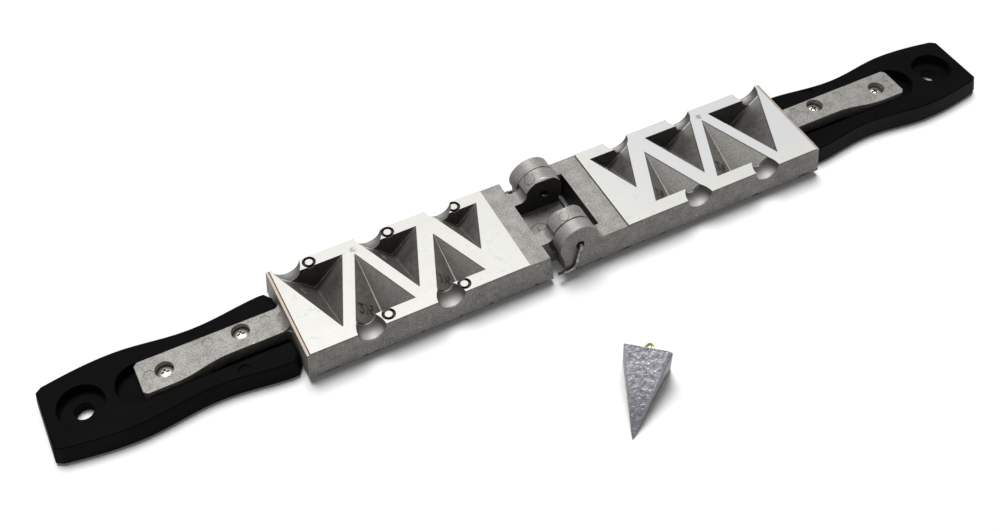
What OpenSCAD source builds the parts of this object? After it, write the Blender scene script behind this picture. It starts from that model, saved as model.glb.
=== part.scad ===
/* [Cavities] */
// Sinker sizes in ounces, from the outer end of the mould to the hinge
sinker_sizes = [3, 2.5, 2, 1.5, 1];
// Width across the corners of the largest sinker's base
cavity_w = 32.8; // [30:0.2:34]
// Height of a sinker as a share of its width
cavity_h_share = 1.24; // [1.15:0.01:1.28]
// Rounding of the valley along a cavity, at its base
valley_r = 1; // [0.6:0.1:1.6]
// Land between two neighbouring large cavities, along the mould
cavity_rib = 6.5; // [5:0.5:9]
// Metal under the deepest cavity
cavity_floor = 2.6; // [2:0.1:4]
// Land between a cavity's base and the back side of the mould
back_land = 6.6; // [5.5:0.1:8]
// Land between a cavity's base and the front side of the mould
front_land = 7.6; // [6.5:0.1:9]
// Radius of a pouring gate at the side of the mould
gate_r = 7.1; // [5.5:0.1:7.5]
// Radius of the largest gate where it meets its cavity
gate_neck_r = 5; // [3.6:0.1:5.4]
// Width of the base's corner left beside the gate
gate_shoulder = 0.4; // [0.2:0.1:1.5]

/* [Mould half] */
// Width of the machined parting face
face_w = 55.2; // [54:0.2:62]
// Land beyond the outermost cavity
outer_land = 2.8; // [2:0.2:5]
// Land between the innermost cavity and the as-cast strip
inner_land = 5.2; // [3:0.2:8]
// Height of the machined face over the as-cast metal round it
face_h = 0.6; // [0.3:0.1:1]
// Width of the as-cast ledge at the outer end
ledge_w = 1.7; // [1:0.1:3]
// Depth from the parting face to the flash line round the sides
side_h = 16; // [14:0.5:17]
// How far the sides flare out on their way down to the flash line
side_flare = 1.5; // [0.5:0.1:2]
// Distance from the edges to the raised pad on the back
pad_inset = 6; // [4:0.5:10]

/* [Eye rings] */
// Thickness of the brass eye's wire
eye_wire_d = 1.3; // [1:0.1:1.5]
// Inside diameter of the eye ring
eye_bore_d = 4; // [3.6:0.1:5]
// Play of the eye in its groove
eye_play = 0.1; // [0.05:0.05:0.2]
// Depth of an eye's legs in the lead
eye_leg_h = 13; // [8:0.5:18]
// Angle between the two legs
eye_leg_spread = 16; // [8:1:24]

/* [Hinge] */
// Distance from the hinge axis to the machined face
hinge_reach = 27.6; // [26:0.2:34]
// Radius of the knuckles round the pin
knuckle_r = 10.9; // [9.5:0.1:11.5]
// Half width of a knuckle at the level of the pin, where its straight side starts
knuckle_half_w = 9.6; // [8:0.1:10]
// Half width of a knuckle at its foot
knuckle_foot_w = 8; // [6:0.1:9.4]
// Rounding of a knuckle's top edge, on the side where the pin shows
knuckle_edge_r = 1.6; // [0.5:0.1:2.5]
// Rounding down a lug's outer corner
lug_corner_r = 2.2; // [1:0.1:4]
// Rounding down a knuckle's inner corner
knuckle_corner_r = 1.4; // [0.5:0.1:2]
// Distance from the middle to the inner pair of knuckles
knuckle_in = 10.4; // [8:0.2:12]
// Distance from the middle to the outer side of the inner pair
knuckle_out = 18.9; // [17:0.1:20]
// Side play between a knuckle and its lug
knuckle_gap = 0.3; // [0.2:0.05:0.5]
// Radius of the fillet at the root of a knuckle
knuckle_root_r = 3.8; // [2:0.1:4.5]
// Distance from the hinge axis to the inner end of the left half
left_reach = 16.7; // [16.2:0.1:18]
// Distance from the hinge axis to the window of the right half
right_reach = 15.1; // [14.6:0.1:16]
// Depth of the floor plate between the inner knuckles
plate_drop = 9.5; // [7:0.1:11]
// Distance that the floor plate reaches past the hinge axis
plate_reach = 10.8; // [8:0.1:11.5]
// Radius of the plate's far edge
plate_edge_r = 2; // [0.5:0.1:4]
// Radius of the corners of the hinge window
window_r = 2.6; // [2.1:0.1:4]
// Gap between the parting faces of the closed mould
closed_gap = 0.1; // [0.05:0.01:0.3]

/* [Hinge pins] */
// Diameter of a split pin
pin_d = 1.9; // [1.6:0.1:2.6]
// Running clearance round a pin, on the radius
pin_play = 0.05; // [0.02:0.01:0.1]
// Diameter of the countersink at each end of the pin bore
pin_sink_d = 4.6; // [3.6:0.1:5.4]
// Length of a bent leg down to its curl
pin_leg_l = 10.5; // [8:0.5:12]
// Lean of the bent legs from upright
pin_leg_lean = 16; // [0:1:30]
// Length of the curled end of a leg
pin_curl_l = 6; // [3:0.5:7]

/* [Tang] */
// Length of the tang from the end of the mould
tang_l = 72.5; // [68:0.5:78]
// Distance from the centre line to the tang's back edge
tang_back = 9.5; // [8:0.1:10]
// Distance from the centre line to its front edge at the tip
tang_front = 9.5; // [8:0.1:10]
// Distance from the centre line to its front edge at the root
tang_root = 5.4; // [4.5:0.1:8]
// Depth of the tang's top below the parting face
tang_drop = 6; // [5:0.1:7]
// Thickness of the tang
tang_h = 7; // [6:0.1:7.5]
// Distance from the end of the mould to the inner screw
inner_screw_reach = 22; // [18:0.5:28]
// Distance from the centre line to the inner screw
inner_screw_side = 4.4; // [1:0.1:4.6]
// Distance from the tang's tip to the outer screw
outer_screw_inset = 12.2; // [9:0.1:16]
// Radius of the fillets where the tang leaves the mould
tang_fillet_r = 3; // [1:0.1:3.4]

/* [Screws] */
// Diameter of a screw head
screw_head_d = 8; // [7:0.1:8.5]
// Height of a screw head
screw_head_h = 2.6; // [2:0.1:3]
// Diameter of a screw shank
screw_d = 4.2; // [3.5:0.1:4.5]
// Length of a screw below its head
screw_l = 7.2; // [6:0.1:7.6]
// Depth of a head's top below the tang's top
screw_sunk = 2; // [1:0.1:2.4]
// Play round a screw's shank
screw_play = 0.05; // [0.02:0.01:0.2]
// Play round a screw's head in its counterbore
head_play = 0.45; // [0.2:0.05:0.8]

/* [Handles] */
// Length of a handle
handle_l = 115; // [110:0.5:125]
// Width of a handle beside the mould
handle_w = 45.2; // [42:0.2:48]
// How far each side draws in at the waist
waist_draw = 4; // [2:0.1:5]
// How far each side draws in where the handle is fullest again
palm_draw = 0.3; // [0:0.1:2]
// How far each side draws in at the handle's end
end_draw = 4.6; // [3:0.1:6]
// Distance from the inner end of a handle to its waist
handle_waist_at = 41; // [36:0.5:46]
// Distance from the inner end of a handle to its fullest width
handle_palm_at = 79; // [72:0.5:84]
// Depth of a handle's top below the parting face
handle_drop = 8; // [7:0.1:9]
// How far a handle's sides flare out down to its mould line
handle_flare = 1.5; // [0.5:0.1:2]
// Radius of the rounding along a handle's edges
handle_edge_r = 2; // [1:0.1:2.5]
// Depth of the tang's recess and the counterbore
recess_h = 5; // [4.5:0.1:6]
// Half width of the tang's recess
recess_half_w = 10.7; // [10.2:0.1:12]
// Diameter of the round end of the recess and of the counterbore
recess_d = 22.5; // [21:0.5:25]
// Diameter of the hole that the handle hangs by
hang_hole_d = 9.2; // [7:0.1:11]
// Distance from the handle's end to the hanging hole
hang_hole_reach = 17; // [15:0.5:19]
// Diameter of the round ejector mark on the handle's top
dimple_d = 6; // [3:0.5:8]
// Distance of that mark from the handle's inner end
dimple_reach = 25.6; // [20:0.2:30]
// Distance of that mark from the middle of the handle
dimple_side = 16; // [14.5:0.1:16.4]

/* [Sinker] */
// Distance from the hinge to the sinker's middle, towards the right half
sinker_x = -13; // [-60:1:60]
// Distance from the centre line to the sinker's middle, in front
sinker_y = 108; // [80:1:160]
// Turn of the sinker about the upright
sinker_turn = -40; // [-60:1:60]

/* [Hidden] */
$fn = 64;

// Overrun of every cut past the face that it opens
over = 1;
// Facets of the blended forms
soft_fn = 32;
// Thickness of a plate or a slit that only has to be there
sliver = 0.1;

// Ribs beside the small cavities are wider than those beside the large ones
rib_shares = [1, 1, 1.36, 1.36];
sizes = len(sinker_sizes);
// Sinkers of one shape weigh as the cube of their width
width_shares = [for (s = sinker_sizes) pow(s / sinker_sizes[0], 1 / 3)];
function size_w(i) = cavity_w * width_shares[i];
function size_h(i) = size_w(i) * cavity_h_share;
// Odd cavities are poured from the back and even ones from the front
function base_side(i) = i % 2 == 0 ? 1 : -1;
function base_y(i) = base_side(i) * (face_w / 2 - (base_side(i) > 0 ? back_land : front_land));
// Distance along the width, at the tip of one cavity, that the next one still spans
nest = face_w - back_land - front_land;
function nest_half_w(i) = size_w(i) / 2 * (1 - max(0, nest - size_h(i - 1)) / size_h(i));
// Distance from the outer end of the row to the middle of each cavity
function row_at(i) = i == 0 ? size_w(0) / 2
    : row_at(i - 1) + cavity_rib * rib_shares[i - 1] + nest_half_w(i);
row_l = row_at(sizes - 1) + size_w(sizes - 1) / 2;

face_end = hinge_reach + inner_land + row_l + outer_land;
mould_end = face_end + ledge_w;
function cavity_x(i) = face_end - outer_land - row_at(i);
function gate_neck(i) = gate_neck_r * width_shares[i];
function gate_x(i) = cavity_x(i) + size_w(i) / 2 - gate_neck(i) - gate_shoulder;

// The pad carries the mould, so the parting face is this high above what it lies on
parting_z = cavity_w / 2 + cavity_floor;
pad_h = parting_z - side_h;
pad_corner_r = pad_inset / 2;
// Half width of a cavity's blunt tip
tip_r = valley_r / 4;
bowl_steps = 8;
plate_inset = pad_inset / 3;
draft = atan(side_flare / side_h);
function flare_at(z) = -z / side_h * side_flare;

ring_r = (eye_bore_d + eye_wire_d) / 2;
ring_outer_r = ring_r + eye_wire_d / 2;
// The ring bites a little way into the base
ring_bite = eye_wire_d / 4;
ring_reach = ring_outer_r - ring_bite;

lug_in = knuckle_out + knuckle_gap;
lug_out = face_w / 2;
pin_r = pin_d / 2;
pin_bore_r = pin_r + pin_play;
pin_sink_h = (pin_sink_d - 2 * pin_bore_r) / 2;
// The shank runs from the lug's face to the bottom of the countersink in the knuckle
pin_out = lug_out + pin_play;
pin_in = knuckle_in + pin_sink_h;
wire_r = pin_r - sliver / 2;
leg_bend_r = pin_r * 1.3;
curl_r = pin_d * 1.8;
pin_curl = 88;
bow_r = pin_d * 0.45;
bow_neck = 50;
neck_r = bow_r * cos(bow_neck) / (1 - cos(bow_neck));

tang_tip = mould_end + tang_l;
tang_corner_r = tang_h / 4;
// The front edge swings out between these shares of the tang's length
tang_swing_shares = [0.42, 0.8];
tang_bend_steps = 12;
// Round marks of the casting die's ejector pins, along the tang and across its back half
tang_mark_shares = [[0.13, 0.56], [0.52, 0.57], [0.93, 0.02]];
mark_d = tang_h * 0.72;
mark_h = tang_h / 28;
tang_foot = -tang_drop - tang_h;
tang_root_r = tang_drop - face_h;

head_foot = -tang_drop - screw_sunk - screw_head_h;
head_sink_d = screw_head_d + 2 * head_play;
screw_tip_h = screw_d / 2;

handle_gap = sliver;
handle_x = mould_end + side_flare + handle_gap;
handle_root_w = handle_w / 2;
handle_waist_w = handle_root_w - waist_draw;
handle_palm_w = handle_root_w - palm_draw;
handle_end_w = handle_root_w - end_draw;
dimple_h = dimple_d / 8;
handle_end = handle_x + handle_l;
handle_foot = -parting_z;
handle_top_r = handle_edge_r / 2;
hang_x = handle_end - hang_hole_reach;
handle_corner_r = handle_root_w / 5;
handle_end_corner_r = handle_root_w / 14;
handle_steps = 40;

slope_angle = atan((size_w(0) / 2 - tip_r) / sqrt(2) / size_h(0));

module left_mould_half() {
    color("silver") mirror([1, 0, 0]) lift() difference() {
        union() {
            casting(left_reach);
            inner_knuckles();
        }
        cavity_row();
        eye_grooves();
        pin_bore(knuckle_in, knuckle_out, knuckle_in, -1);
    }
}

module right_mould_half() {
    color("silver") lift() difference() {
        union() {
            casting(right_reach);
            outer_lugs();
        }
        cavity_row();
        hinge_window();
        pin_bore(lug_in, lug_out + side_flare, lug_out, 1);
    }
}

// Everything but the sinker is drawn with the parting face at zero
module lift() {
    translate([0, 0, parting_z]) children();
}

// One half without its hinge: flared block, machined face, back pad and tang
module casting(reach) {
    difference() {
        union() {
            flared(reach, mould_end, -face_h);
            translate([hinge_reach, -face_w / 2, -side_h / 2])
                cube([face_end - hinge_reach, face_w, side_h / 2]);
            back_pad(hinge_reach - pad_inset);
            tang();
        }
        tang_screw_holes();
    }
}

// A block whose sides flare out from the given top down to the flash line
module flared(from, to, top) {
    hull() for (z = [top - sliver, -side_h])
        translate([from - flare_at(z), -face_w / 2 - flare_at(z), z])
            cube([to - from + 2 * flare_at(z), face_w + 2 * flare_at(z), sliver]);
}

// The pad on the back, drawn in from the edges, with the face that the mould lies on
module back_pad(from) {
    translate([0, 0, -parting_z]) linear_extrude(pad_h + over)
        round_plan(from, mould_end - pad_inset, face_w / 2 - pad_inset, pad_corner_r);
}

// A rectangle with round corners, even about the centre line
module round_plan(from, to, half_w, r) {
    translate([from + r, -half_w]) square([to - from - 2 * r, 2 * half_w]);
    translate([from, -half_w + r]) square([to - from, 2 * half_w - 2 * r]);
    for (x = [from + r, to - r], y = [r - half_w, half_w - r]) translate([x, y]) circle(r);
}

// Right side of a square that stands on a rounded corner, from that corner up, by its half diagonal
function round_side(half, r) = [for (a = [-78.75:22.5:-45])
    [r * cos(a), r * (sqrt(2) + sin(a)) - half]];

// Section of a cavity: down to its rounded valley, and open past the parting face
function cavity_ring(half, r, at) =
    let (side = concat(round_side(half, r), [[half, 0], [half, over]]), n = len(side))
    concat([for (p = side) [-p[0], at, p[1]]], [for (k = [n - 1:-1:0]) [side[k][0], at, side[k][1]]]);

// Half of a square pyramid, split along its diagonal, on its side with the base upright
module cavity(i) {
    translate([cavity_x(i), base_y(i), 0]) rotate([0, 0, 90 * (1 + base_side(i))])
        skin([cavity_ring(size_w(i) / 2, valley_r, 0), cavity_ring(tip_r, tip_r / 2, size_h(i))]);
}

// A bowl that opens from the cavity's base to the side of the mould and levels out there
module gate(i) {
    gate_l = face_w / 2 - abs(base_y(i));
    far = gate_l + side_flare + over;
    rise = gate_r - gate_neck(i);
    translate([gate_x(i), base_y(i), 0]) rotate([-base_side(i) * 90, 0, 0]) rotate_extrude()
        polygon(concat([[0, 0]], [for (s = [0:1 / bowl_steps:1])
            [gate_r - rise * pow(1 - s, 2), gate_l * s]], [[gate_r, far], [0, far]]));
}

module cavity_row() {
    for (i = [0:sizes - 1]) {
        cavity(i);
        gate(i);
    }
}

// The grooves that hold the brass eyes while the lead is poured
module eye_grooves() {
    for (i = [0:sizes - 1])
        translate([cavity_x(i), base_y(i) + base_side(i) * ring_reach, -eye_wire_d - eye_play])
            rotate_extrude()
                translate([eye_bore_d / 2 - eye_play, 0])
                    square([eye_wire_d + 2 * eye_play, eye_wire_d + eye_play + over]);
}

// Outline of a knuckle, seen along the pin: round over the pin, drawn in to the foot
module knuckle_outline(reach) {
    foot = -side_h;
    difference() {
        union() {
            translate([0, closed_gap / 2]) circle(knuckle_r);
            polygon([[-knuckle_half_w, 0], [-knuckle_foot_w, foot], [reach + over, foot],
                     [reach + over, -face_h], [0, -face_h]]);
            translate([0, -face_h - over])
                square([knuckle_half_w + knuckle_root_r, knuckle_root_r + over]);
        }
        translate([knuckle_half_w + knuckle_root_r, -face_h + knuckle_root_r]) circle(knuckle_root_r);
    }
}

// A knuckle whose face at the given end is rounded along the top and down its free corner
module knuckle(from, to, reach, soft_end, corner_r) {
    intersection() {
        translate([0, to, 0]) rotate([90, 0, 0]) linear_extrude(to - from) knuckle_outline(reach);
        translate([-knuckle_r - over, 0, 0]) rotate([90, 0, 90])
            linear_extrude(knuckle_r + reach + 2 * over) soft_top(from, to, soft_end);
        translate([0, 0, -side_h]) linear_extrude(side_h + knuckle_r + over)
            soft_corner(from, to, reach, soft_end, corner_r);
    }
}

// The knuckle seen from its free side, with one top edge rounded
module soft_top(from, to, soft_end) {
    low = -side_h - over;
    level = knuckle_r + closed_gap / 2 - knuckle_edge_r;
    inner = soft_end == to ? from : from + knuckle_edge_r;
    translate([from, low]) square([to - from, level - low]);
    translate([inner, low]) square([to - from - knuckle_edge_r, level - low + knuckle_edge_r]);
    translate([soft_end == to ? to - knuckle_edge_r : inner, level]) circle(knuckle_edge_r);
}

// The knuckle seen from above, with one free corner rounded
module soft_corner(from, to, reach, soft_end, r) {
    free = -knuckle_r;
    inner = soft_end == to ? from : from + r;
    translate([free + r, from]) square([reach - free - r + over, to - from]);
    translate([free, inner]) square([reach - free + over, to - from - r]);
    translate([free + r, soft_end == to ? to - r : inner]) circle(r);
}

// The left half's knuckles stand on a floor plate that reaches past the axis
module inner_knuckles() {
    for (side = [0, 1]) mirror([0, side, 0])
        knuckle(knuckle_in, knuckle_out, left_reach, knuckle_in, knuckle_corner_r);
    translate([0, knuckle_out, 0]) rotate([90, 0, 0]) linear_extrude(2 * knuckle_out) plate_outline();
    translate([0, 0, -parting_z]) linear_extrude(pad_h + over)
        round_plan(plate_inset - plate_reach, hinge_reach, knuckle_out - plate_inset, pad_corner_r);
}

// The floor plate seen along the pin, with its far edge rounded
module plate_outline() {
    translate([-plate_reach, -side_h])
        square([plate_reach + left_reach + over, side_h - plate_drop - plate_edge_r]);
    translate([plate_edge_r - plate_reach, -side_h])
        square([plate_reach - plate_edge_r + left_reach + over, side_h - plate_drop]);
    translate([plate_edge_r - plate_reach, -plate_drop - plate_edge_r]) circle(plate_edge_r);
}

// The right half's lugs stand outside the knuckles, flush with the flared sides
module outer_lugs() {
    intersection() {
        for (side = [0, 1]) mirror([0, side, 0])
            knuckle(lug_in, lug_out + side_flare, right_reach, lug_out + side_flare, lug_corner_r);
        flared(-2 * knuckle_half_w, hinge_reach, knuckle_r + over);
    }
}

// The window between the lugs, where the knuckles turn
module hinge_window() {
    clear = right_reach;
    translate([0, 0, -parting_z - over]) linear_extrude(parting_z + 2 * over)
        hull() for (x = [0, clear - window_r], y = [-1, 1])
            translate([x, y * (lug_in - window_r)]) circle(window_r, $fn = soft_fn);
}

// The bore of each pin, countersunk at the face where the pin shows
module pin_bore(from, to, sink_at, sink_dir) {
    for (side = [0, 1]) mirror([0, side, 0]) translate([0, 0, closed_gap / 2]) {
        translate([0, from - over, 0]) rotate([-90, 0, 0])
            cylinder(h = to - from + 2 * over, r = pin_bore_r);
        translate([0, sink_at + sink_dir * over, 0]) rotate([sink_dir * 90, 0, 0])
            cylinder(h = pin_sink_h + over, r1 = pin_sink_d / 2 + over, r2 = pin_bore_r);
    }
}

// Outline of the tang: straight at the back, drawn in at the front near the mould
module tang_outline() {
    bend_from = mould_end + tang_l * tang_swing_shares[0];
    bend_l = tang_l * (tang_swing_shares[1] - tang_swing_shares[0]);
    bend = [for (k = [0:tang_bend_steps]) let (s = k / tang_bend_steps)
        [bend_from + bend_l * s, -tang_root - (tang_front - tang_root) * (1 - cos(180 * s)) / 2]];
    polygon(concat([[mould_end - over, -tang_root]], bend,
                   [[tang_tip - tang_corner_r, -tang_front], [tang_tip, -tang_front + tang_corner_r],
                    [tang_tip, tang_back - tang_corner_r], [tang_tip - tang_corner_r, tang_back],
                    [mould_end - over, tang_back]]));
}

// The concave corner between the tang's edge and the end of the mould
module tang_fillet(edge) {
    end = mould_end + flare_at(-tang_drop);
    difference() {
        translate([mould_end - over, edge - over]) square([end - mould_end + over + tang_fillet_r,
                                                           tang_fillet_r + over]);
        translate([end + tang_fillet_r, edge + tang_fillet_r]) circle(tang_fillet_r);
    }
}

// The tang that carries the handle, with its swept-up root
module tang() {
    difference() {
        translate([0, 0, tang_foot]) linear_extrude(tang_h) {
            tang_outline();
            tang_fillet(tang_back);
            mirror([0, 1]) tang_fillet(tang_root);
        }
        for (mark = tang_mark_shares)
            translate([mould_end + tang_l * mark[0], tang_back * mark[1], -tang_drop - mark_h])
                cylinder(h = mark_h + over, d = mark_d);
    }
    difference() {
        translate([mould_end - over, -tang_root, -tang_drop - over / 10])
            cube([tang_root_r + over, 2 * tang_root, tang_root_r + over / 10]);
        translate([mould_end + tang_root_r, 0, -face_h]) rotate([90, 0, 0])
            cylinder(h = 3 * tang_root, r = tang_root_r, center = true);
    }
}

function screw_place(outer) = outer ? [tang_tip - outer_screw_inset, 0, 0]
    : [mould_end + inner_screw_reach, inner_screw_side, 0];

module tang_screw_holes() {
    for (outer = [false, true]) translate(screw_place(outer)) {
        translate([0, 0, head_foot]) cylinder(h = tang_h, d = head_sink_d);
        translate([0, 0, tang_foot - over]) cylinder(h = tang_h + over, d = screw_d + 2 * screw_play);
    }
}

// A pan-head screw with a cross recess
module screw(outer) {
    color("gainsboro") lift() translate(screw_place(outer)) translate([0, 0, head_foot]) {
        difference() {
            rotate_extrude() intersection() {
                square([screw_head_d / 2, screw_head_h]);
                translate([0, screw_head_h - screw_head_d]) circle(screw_head_d);
            }
            for (turn = [0, 90]) rotate([0, 0, turn])
                translate([-screw_head_d / 4, -screw_head_d / 16, screw_head_h * 0.4])
                    cube([screw_head_d / 2, screw_head_d / 8, screw_head_h]);
        }
        translate([0, 0, -screw_l + screw_tip_h]) cylinder(h = screw_l - screw_tip_h, d = screw_d);
        translate([0, 0, -screw_l]) cylinder(h = screw_tip_h, r1 = 0, r2 = screw_d / 2);
    }
}

module left_inner_screw() { mirror([1, 0, 0]) screw(false); }
module left_outer_screw() { mirror([1, 0, 0]) screw(true); }
module right_inner_screw() { screw(false); }
module right_outer_screw() { screw(true); }

// Half width of a handle along its length: full, waisted, full again and drawn in
function handle_half_w(x) =
    x < handle_waist_at
        ? handle_waist_w + (handle_root_w - handle_waist_w) * (1 + cos(180 * x / handle_waist_at)) / 2
    : x < handle_palm_at
        ? handle_palm_w - (handle_palm_w - handle_waist_w)
          * (1 + cos(180 * (x - handle_waist_at) / (handle_palm_at - handle_waist_at))) / 2
    : handle_end_w + (handle_palm_w - handle_end_w)
      * cos(90 * (x - handle_palm_at) / (handle_l - handle_palm_at));

// One level of a handle, drawn out or in all round by the given amount
function handle_ring(out, z) =
    let (from = -min(out, 0), to = handle_l + out,
         side = [for (k = [0:handle_steps]) let (s = k / handle_steps, x = from + (to - from) * s)
             [x, handle_half_w(min(x, handle_l)) + out]],
         cut = [for (p = side) [p[0], min(p[1], corner_w(p[0] - from, p[1], handle_corner_r),
                                          corner_w(to - p[0], p[1], handle_end_corner_r))]])
    concat([for (p = cut) [handle_x + p[0], -p[1], z]],
           [for (k = [handle_steps:-1:0]) [handle_x + cut[k][0], cut[k][1], z]]);

// Half width left by a round corner at a distance from the end
function corner_w(d, w, r) = d >= r ? w : w - r + sqrt(max(0, r * r - (r - d) * (r - d)));

// Levels of a handle from its foot, rounded and flared to the mould line, to its rounded top
handle_rings = concat(
    [for (a = [0:30:90]) handle_ring(handle_flare - handle_edge_r * (1 - sin(a)),
                                     handle_foot + handle_edge_r * (1 - cos(a)))],
    [for (a = [90:-30:0]) handle_ring(-handle_top_r * (1 - sin(a)),
                                      -handle_drop - handle_top_r * (1 - cos(a)))]);

// A closed surface through rings of equally many points, each ring as long on its way back
module skin(rings) {
    n = len(rings[0]);
    top = (len(rings) - 1) * n;
    sides = [for (j = [0:len(rings) - 2], k = [0:n - 1]) let (a = j * n, b = a + n, l = (k + 1) % n)
        each [[a + k, b + k, b + l], [a + k, b + l, a + l]]];
    foot_cap = [for (k = [0:n / 2 - 2]) each [[k, k + 1, n - 2 - k], [k, n - 2 - k, n - 1 - k]]];
    top_cap = [for (f = foot_cap) [top + f[2], top + f[1], top + f[0]]];
    polyhedron([for (r = rings) each r], concat(sides, foot_cap, top_cap));
}

module handle(dimple_y) {
    color([0.13, 0.13, 0.14]) lift() difference() {
        skin(handle_rings);
        tang_recess();
        hanging_hole();
        handle_screw_holes();
        translate([handle_x + dimple_reach, dimple_y, -handle_drop - dimple_h])
            cylinder(h = dimple_h + over, d = dimple_d);
    }
}

// The recess that takes the tang, open towards the mould and round at the other end
module tang_recess() {
    translate([handle_x - over, -recess_half_w, -handle_drop - recess_h])
        cube([tang_tip - handle_x + over, 2 * recess_half_w, recess_h + over]);
    translate([tang_tip, 0, -handle_drop - recess_h]) cylinder(h = recess_h + over, d = recess_d);
}

module hanging_hole() {
    translate([hang_x, 0, -handle_drop - recess_h]) cylinder(h = recess_h + over, d = recess_d);
    translate([hang_x, 0, handle_foot - over]) cylinder(h = parting_z, d = hang_hole_d);
}

module handle_screw_holes() {
    for (outer = [false, true]) translate(screw_place(outer))
        translate([0, 0, head_foot - screw_l - screw_play])
            cylinder(h = screw_l, d = screw_d + 2 * screw_play);
}

// Both handles come from one mould, so the mark is on opposite sides of them
module left_handle() { mirror([1, 0, 0]) handle(-dimple_side); }
module right_handle() { handle(dimple_side); }

// A split pin: half-round wire folded on itself, with its eye inside the hinge
module front_hinge_pin() { color("lightgray") lift() split_pin(); }
module rear_hinge_pin() { color("lightgray") lift() mirror([0, 1, 0]) split_pin(); }

module split_pin() {
    translate([0, 0, closed_gap / 2]) rotate([0, pin_leg_lean, 0]) {
        translate([0, -pin_out, 0]) rotate([-90, 0, 0]) cylinder(h = pin_out - pin_in, r = pin_r);
        for (side = [0, 1]) mirror([side, 0, 0]) skin(wire_rings(walk(side == 0 ? leg_a : leg_b, leg_start)));
        skin(wire_rings(walk(bow_steps, bow_start)));
    }
}

// Steps of a wire's path, each a matrix: a straight run, and bends about the wire's own X and Y
function run(l) = [[1, 0, 0, 0], [0, 1, 0, 0], [0, 0, 1, l], [0, 0, 0, 1]];
function turn_x(a) = [[1, 0, 0, 0], [0, cos(a), -sin(a), 0], [0, sin(a), cos(a), 0], [0, 0, 0, 1]];
function turn_y(a) = [[cos(a), 0, sin(a), 0], [0, 1, 0, 0], [-sin(a), 0, cos(a), 0], [0, 0, 0, 1]];
function bend_x(r, a, n) = [for (k = [1:n]) turn_x(a / n / 2) * run(2 * r * sin(abs(a) / n / 2))
                                            * turn_x(a / n / 2)];
function bend_y(r, a, n) = [for (k = [1:n]) turn_y(a / n / 2) * run(2 * r * sin(abs(a) / n / 2))
                                            * turn_y(a / n / 2)];

// The wire's frames after each step, from where it starts
function walk(steps, at, i = 0) = i == len(steps) ? [at] : concat([at], walk(steps, at * steps[i], i + 1));

// The half-round wire's outline, carried along its frames
wire_outline = [for (a = [-90:20:90]) [sliver / 2 + wire_r * cos(a), wire_r * sin(a), 0, 1]];
function wire_rings(frames) = [for (f = frames) [for (p = wire_outline) let (q = f * p) [q[0], q[1], q[2]]]];

// Each leg bends over the lug's face, runs down it and curls in under the hinge
leg_start = [[1, 0, 0, 0], [0, 0, -1, -pin_out + pin_r], [0, 1, 0, 0], [0, 0, 0, 1]];
function leg_steps(curl, tail) = concat([run(pin_r)], bend_x(leg_bend_r, 90 - draft, 5), [run(pin_leg_l)],
                                        bend_y(curl_r, curl, 5), [run(tail)]);
leg_a = leg_steps(-pin_curl, pin_curl_l);
leg_b = leg_steps(pin_curl, pin_curl_l * 0.6);

// The pin's eye runs from one half of the shank round to the other
bow_start = [[1, 0, 0, 0], [0, 0, 1, -pin_in - pin_r], [0, -1, 0, 0], [0, 0, 0, 1]];
bow_steps = concat([run(pin_r)], bend_y(neck_r, bow_neck, 3), bend_y(bow_r, -180 - 2 * bow_neck, 14),
                   bend_y(neck_r, bow_neck, 3), [run(pin_r)]);

// The sinker lies on one of its faces, its tip to the front
module lay_sinker() {
    translate([sinker_x, -sinker_y, 0]) rotate([0, 0, sinker_turn])
        translate([0, size_h(0) / 2, 0]) rotate([90 + slope_angle, 0, 0])
            translate([0, size_w(0) / 2 / sqrt(2), 0]) children();
}

module sinker_body() {
    color([0.5, 0.52, 0.55]) lay_sinker() difference() {
        rotate([0, 0, 45]) skin([sinker_ring(size_w(0) / 2, valley_r, 0),
                                 sinker_ring(tip_r, tip_r / 2, size_h(0))]);
        eye_wire(eye_wire_d + eye_play);
    }
}

// Section of the sinker: two halves of the mould's section, face to face
function sinker_ring(half, r, at) =
    let (low = round_side(half, r), n = len(low),
         side = concat(low, [[half, 0]], [for (k = [n - 1:-1:0]) [low[k][0], -low[k][1]]]), m = len(side))
    concat([for (p = side) [p[0], p[1], at]], [for (k = [m - 1:-1:0]) [-side[k][0], side[k][1], at]]);

module sinker_eye() {
    color("gold") lay_sinker() eye_wire(eye_wire_d);
}

// The eye stands on the base, in the plane of the sinker's diagonal
module eye_wire(wire_d) {
    rotate([0, 0, 45]) {
        translate([0, 0, -ring_reach]) rotate([90, 0, 0])
            rotate_extrude() translate([ring_r, 0]) circle(d = wire_d, $fn = soft_fn);
        for (side = [-1, 1]) rotate([0, side * eye_leg_spread / 2, 0])
            translate([0, 0, -ring_reach + ring_r])
                cylinder(h = eye_leg_h, d = wire_d, $fn = soft_fn);
    }
}

left_mould_half();
right_mould_half();
front_hinge_pin();
rear_hinge_pin();
left_handle();
right_handle();
left_inner_screw();
left_outer_screw();
right_inner_screw();
right_outer_screw();
sinker_body();
sinker_eye();
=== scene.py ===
import math
from collections import namedtuple

import bpy
from mathutils import Matrix, Vector


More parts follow.
